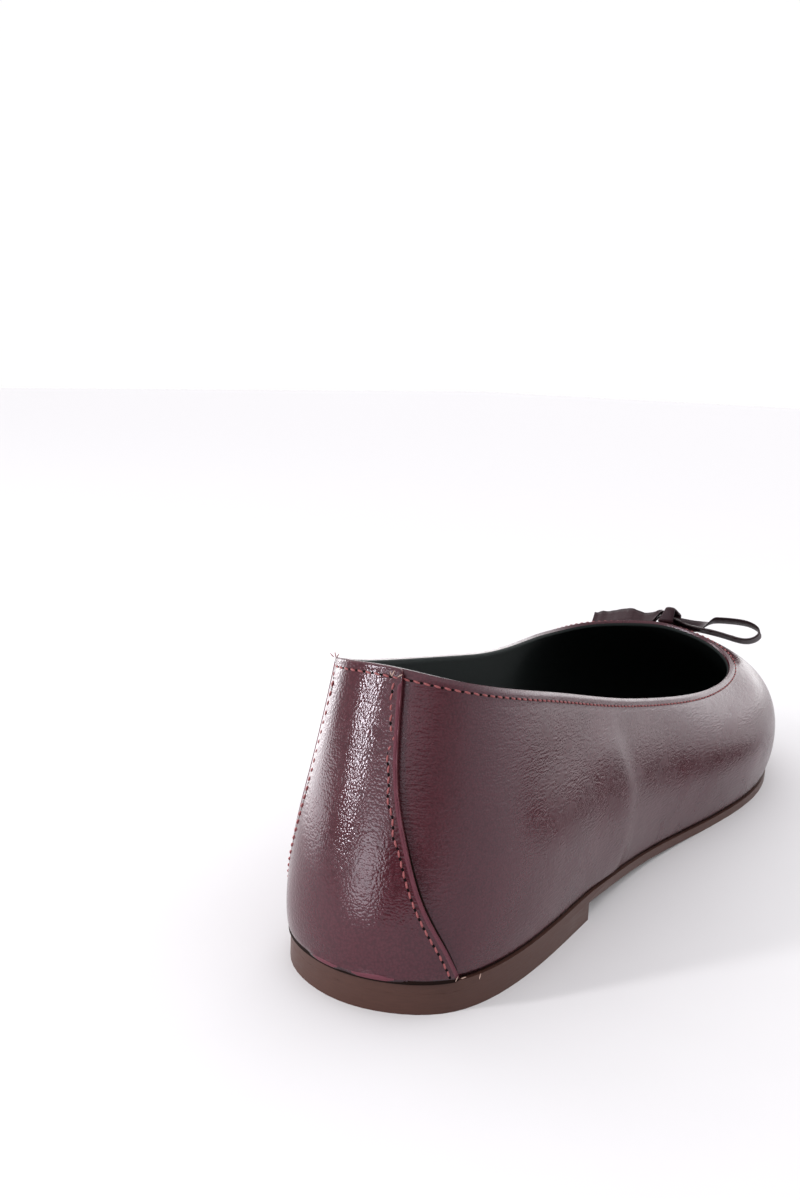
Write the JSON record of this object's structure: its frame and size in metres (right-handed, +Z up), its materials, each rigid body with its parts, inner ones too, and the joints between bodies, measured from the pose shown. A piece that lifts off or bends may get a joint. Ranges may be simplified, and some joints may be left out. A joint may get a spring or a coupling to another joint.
{
  "type": "womens ballet flat",
  "caption": "Right ballet flat with a low topline, a stitched back counter panel, a ribbon bow at the throat, a thin sole and a low heel block.",
  "frame": {"origin": "middle of the heel block's lower face, on the floor, on the heel's centre line", "axes": "+Y from the heel to the toe, +X to the outer (lateral) side, +Z up"},
  "size_m": [0.082, 0.2472, 0.0688],
  "materials": {
    "upper_leather": "semi-gloss oxblood nappa",
    "sole_sheet": "matte brown, lightly sanded",
    "lining": "matte black"
  },
  "bodies": {
    "root": {"upper": "upper_leather", "back_counter": "upper_leather", "bow_loops": "upper_leather", "bow_knot": "upper_leather", "outsole": "sole_sheet", "heel": "sole_sheet", "insole": "lining"}
  },
  "joints": []
}
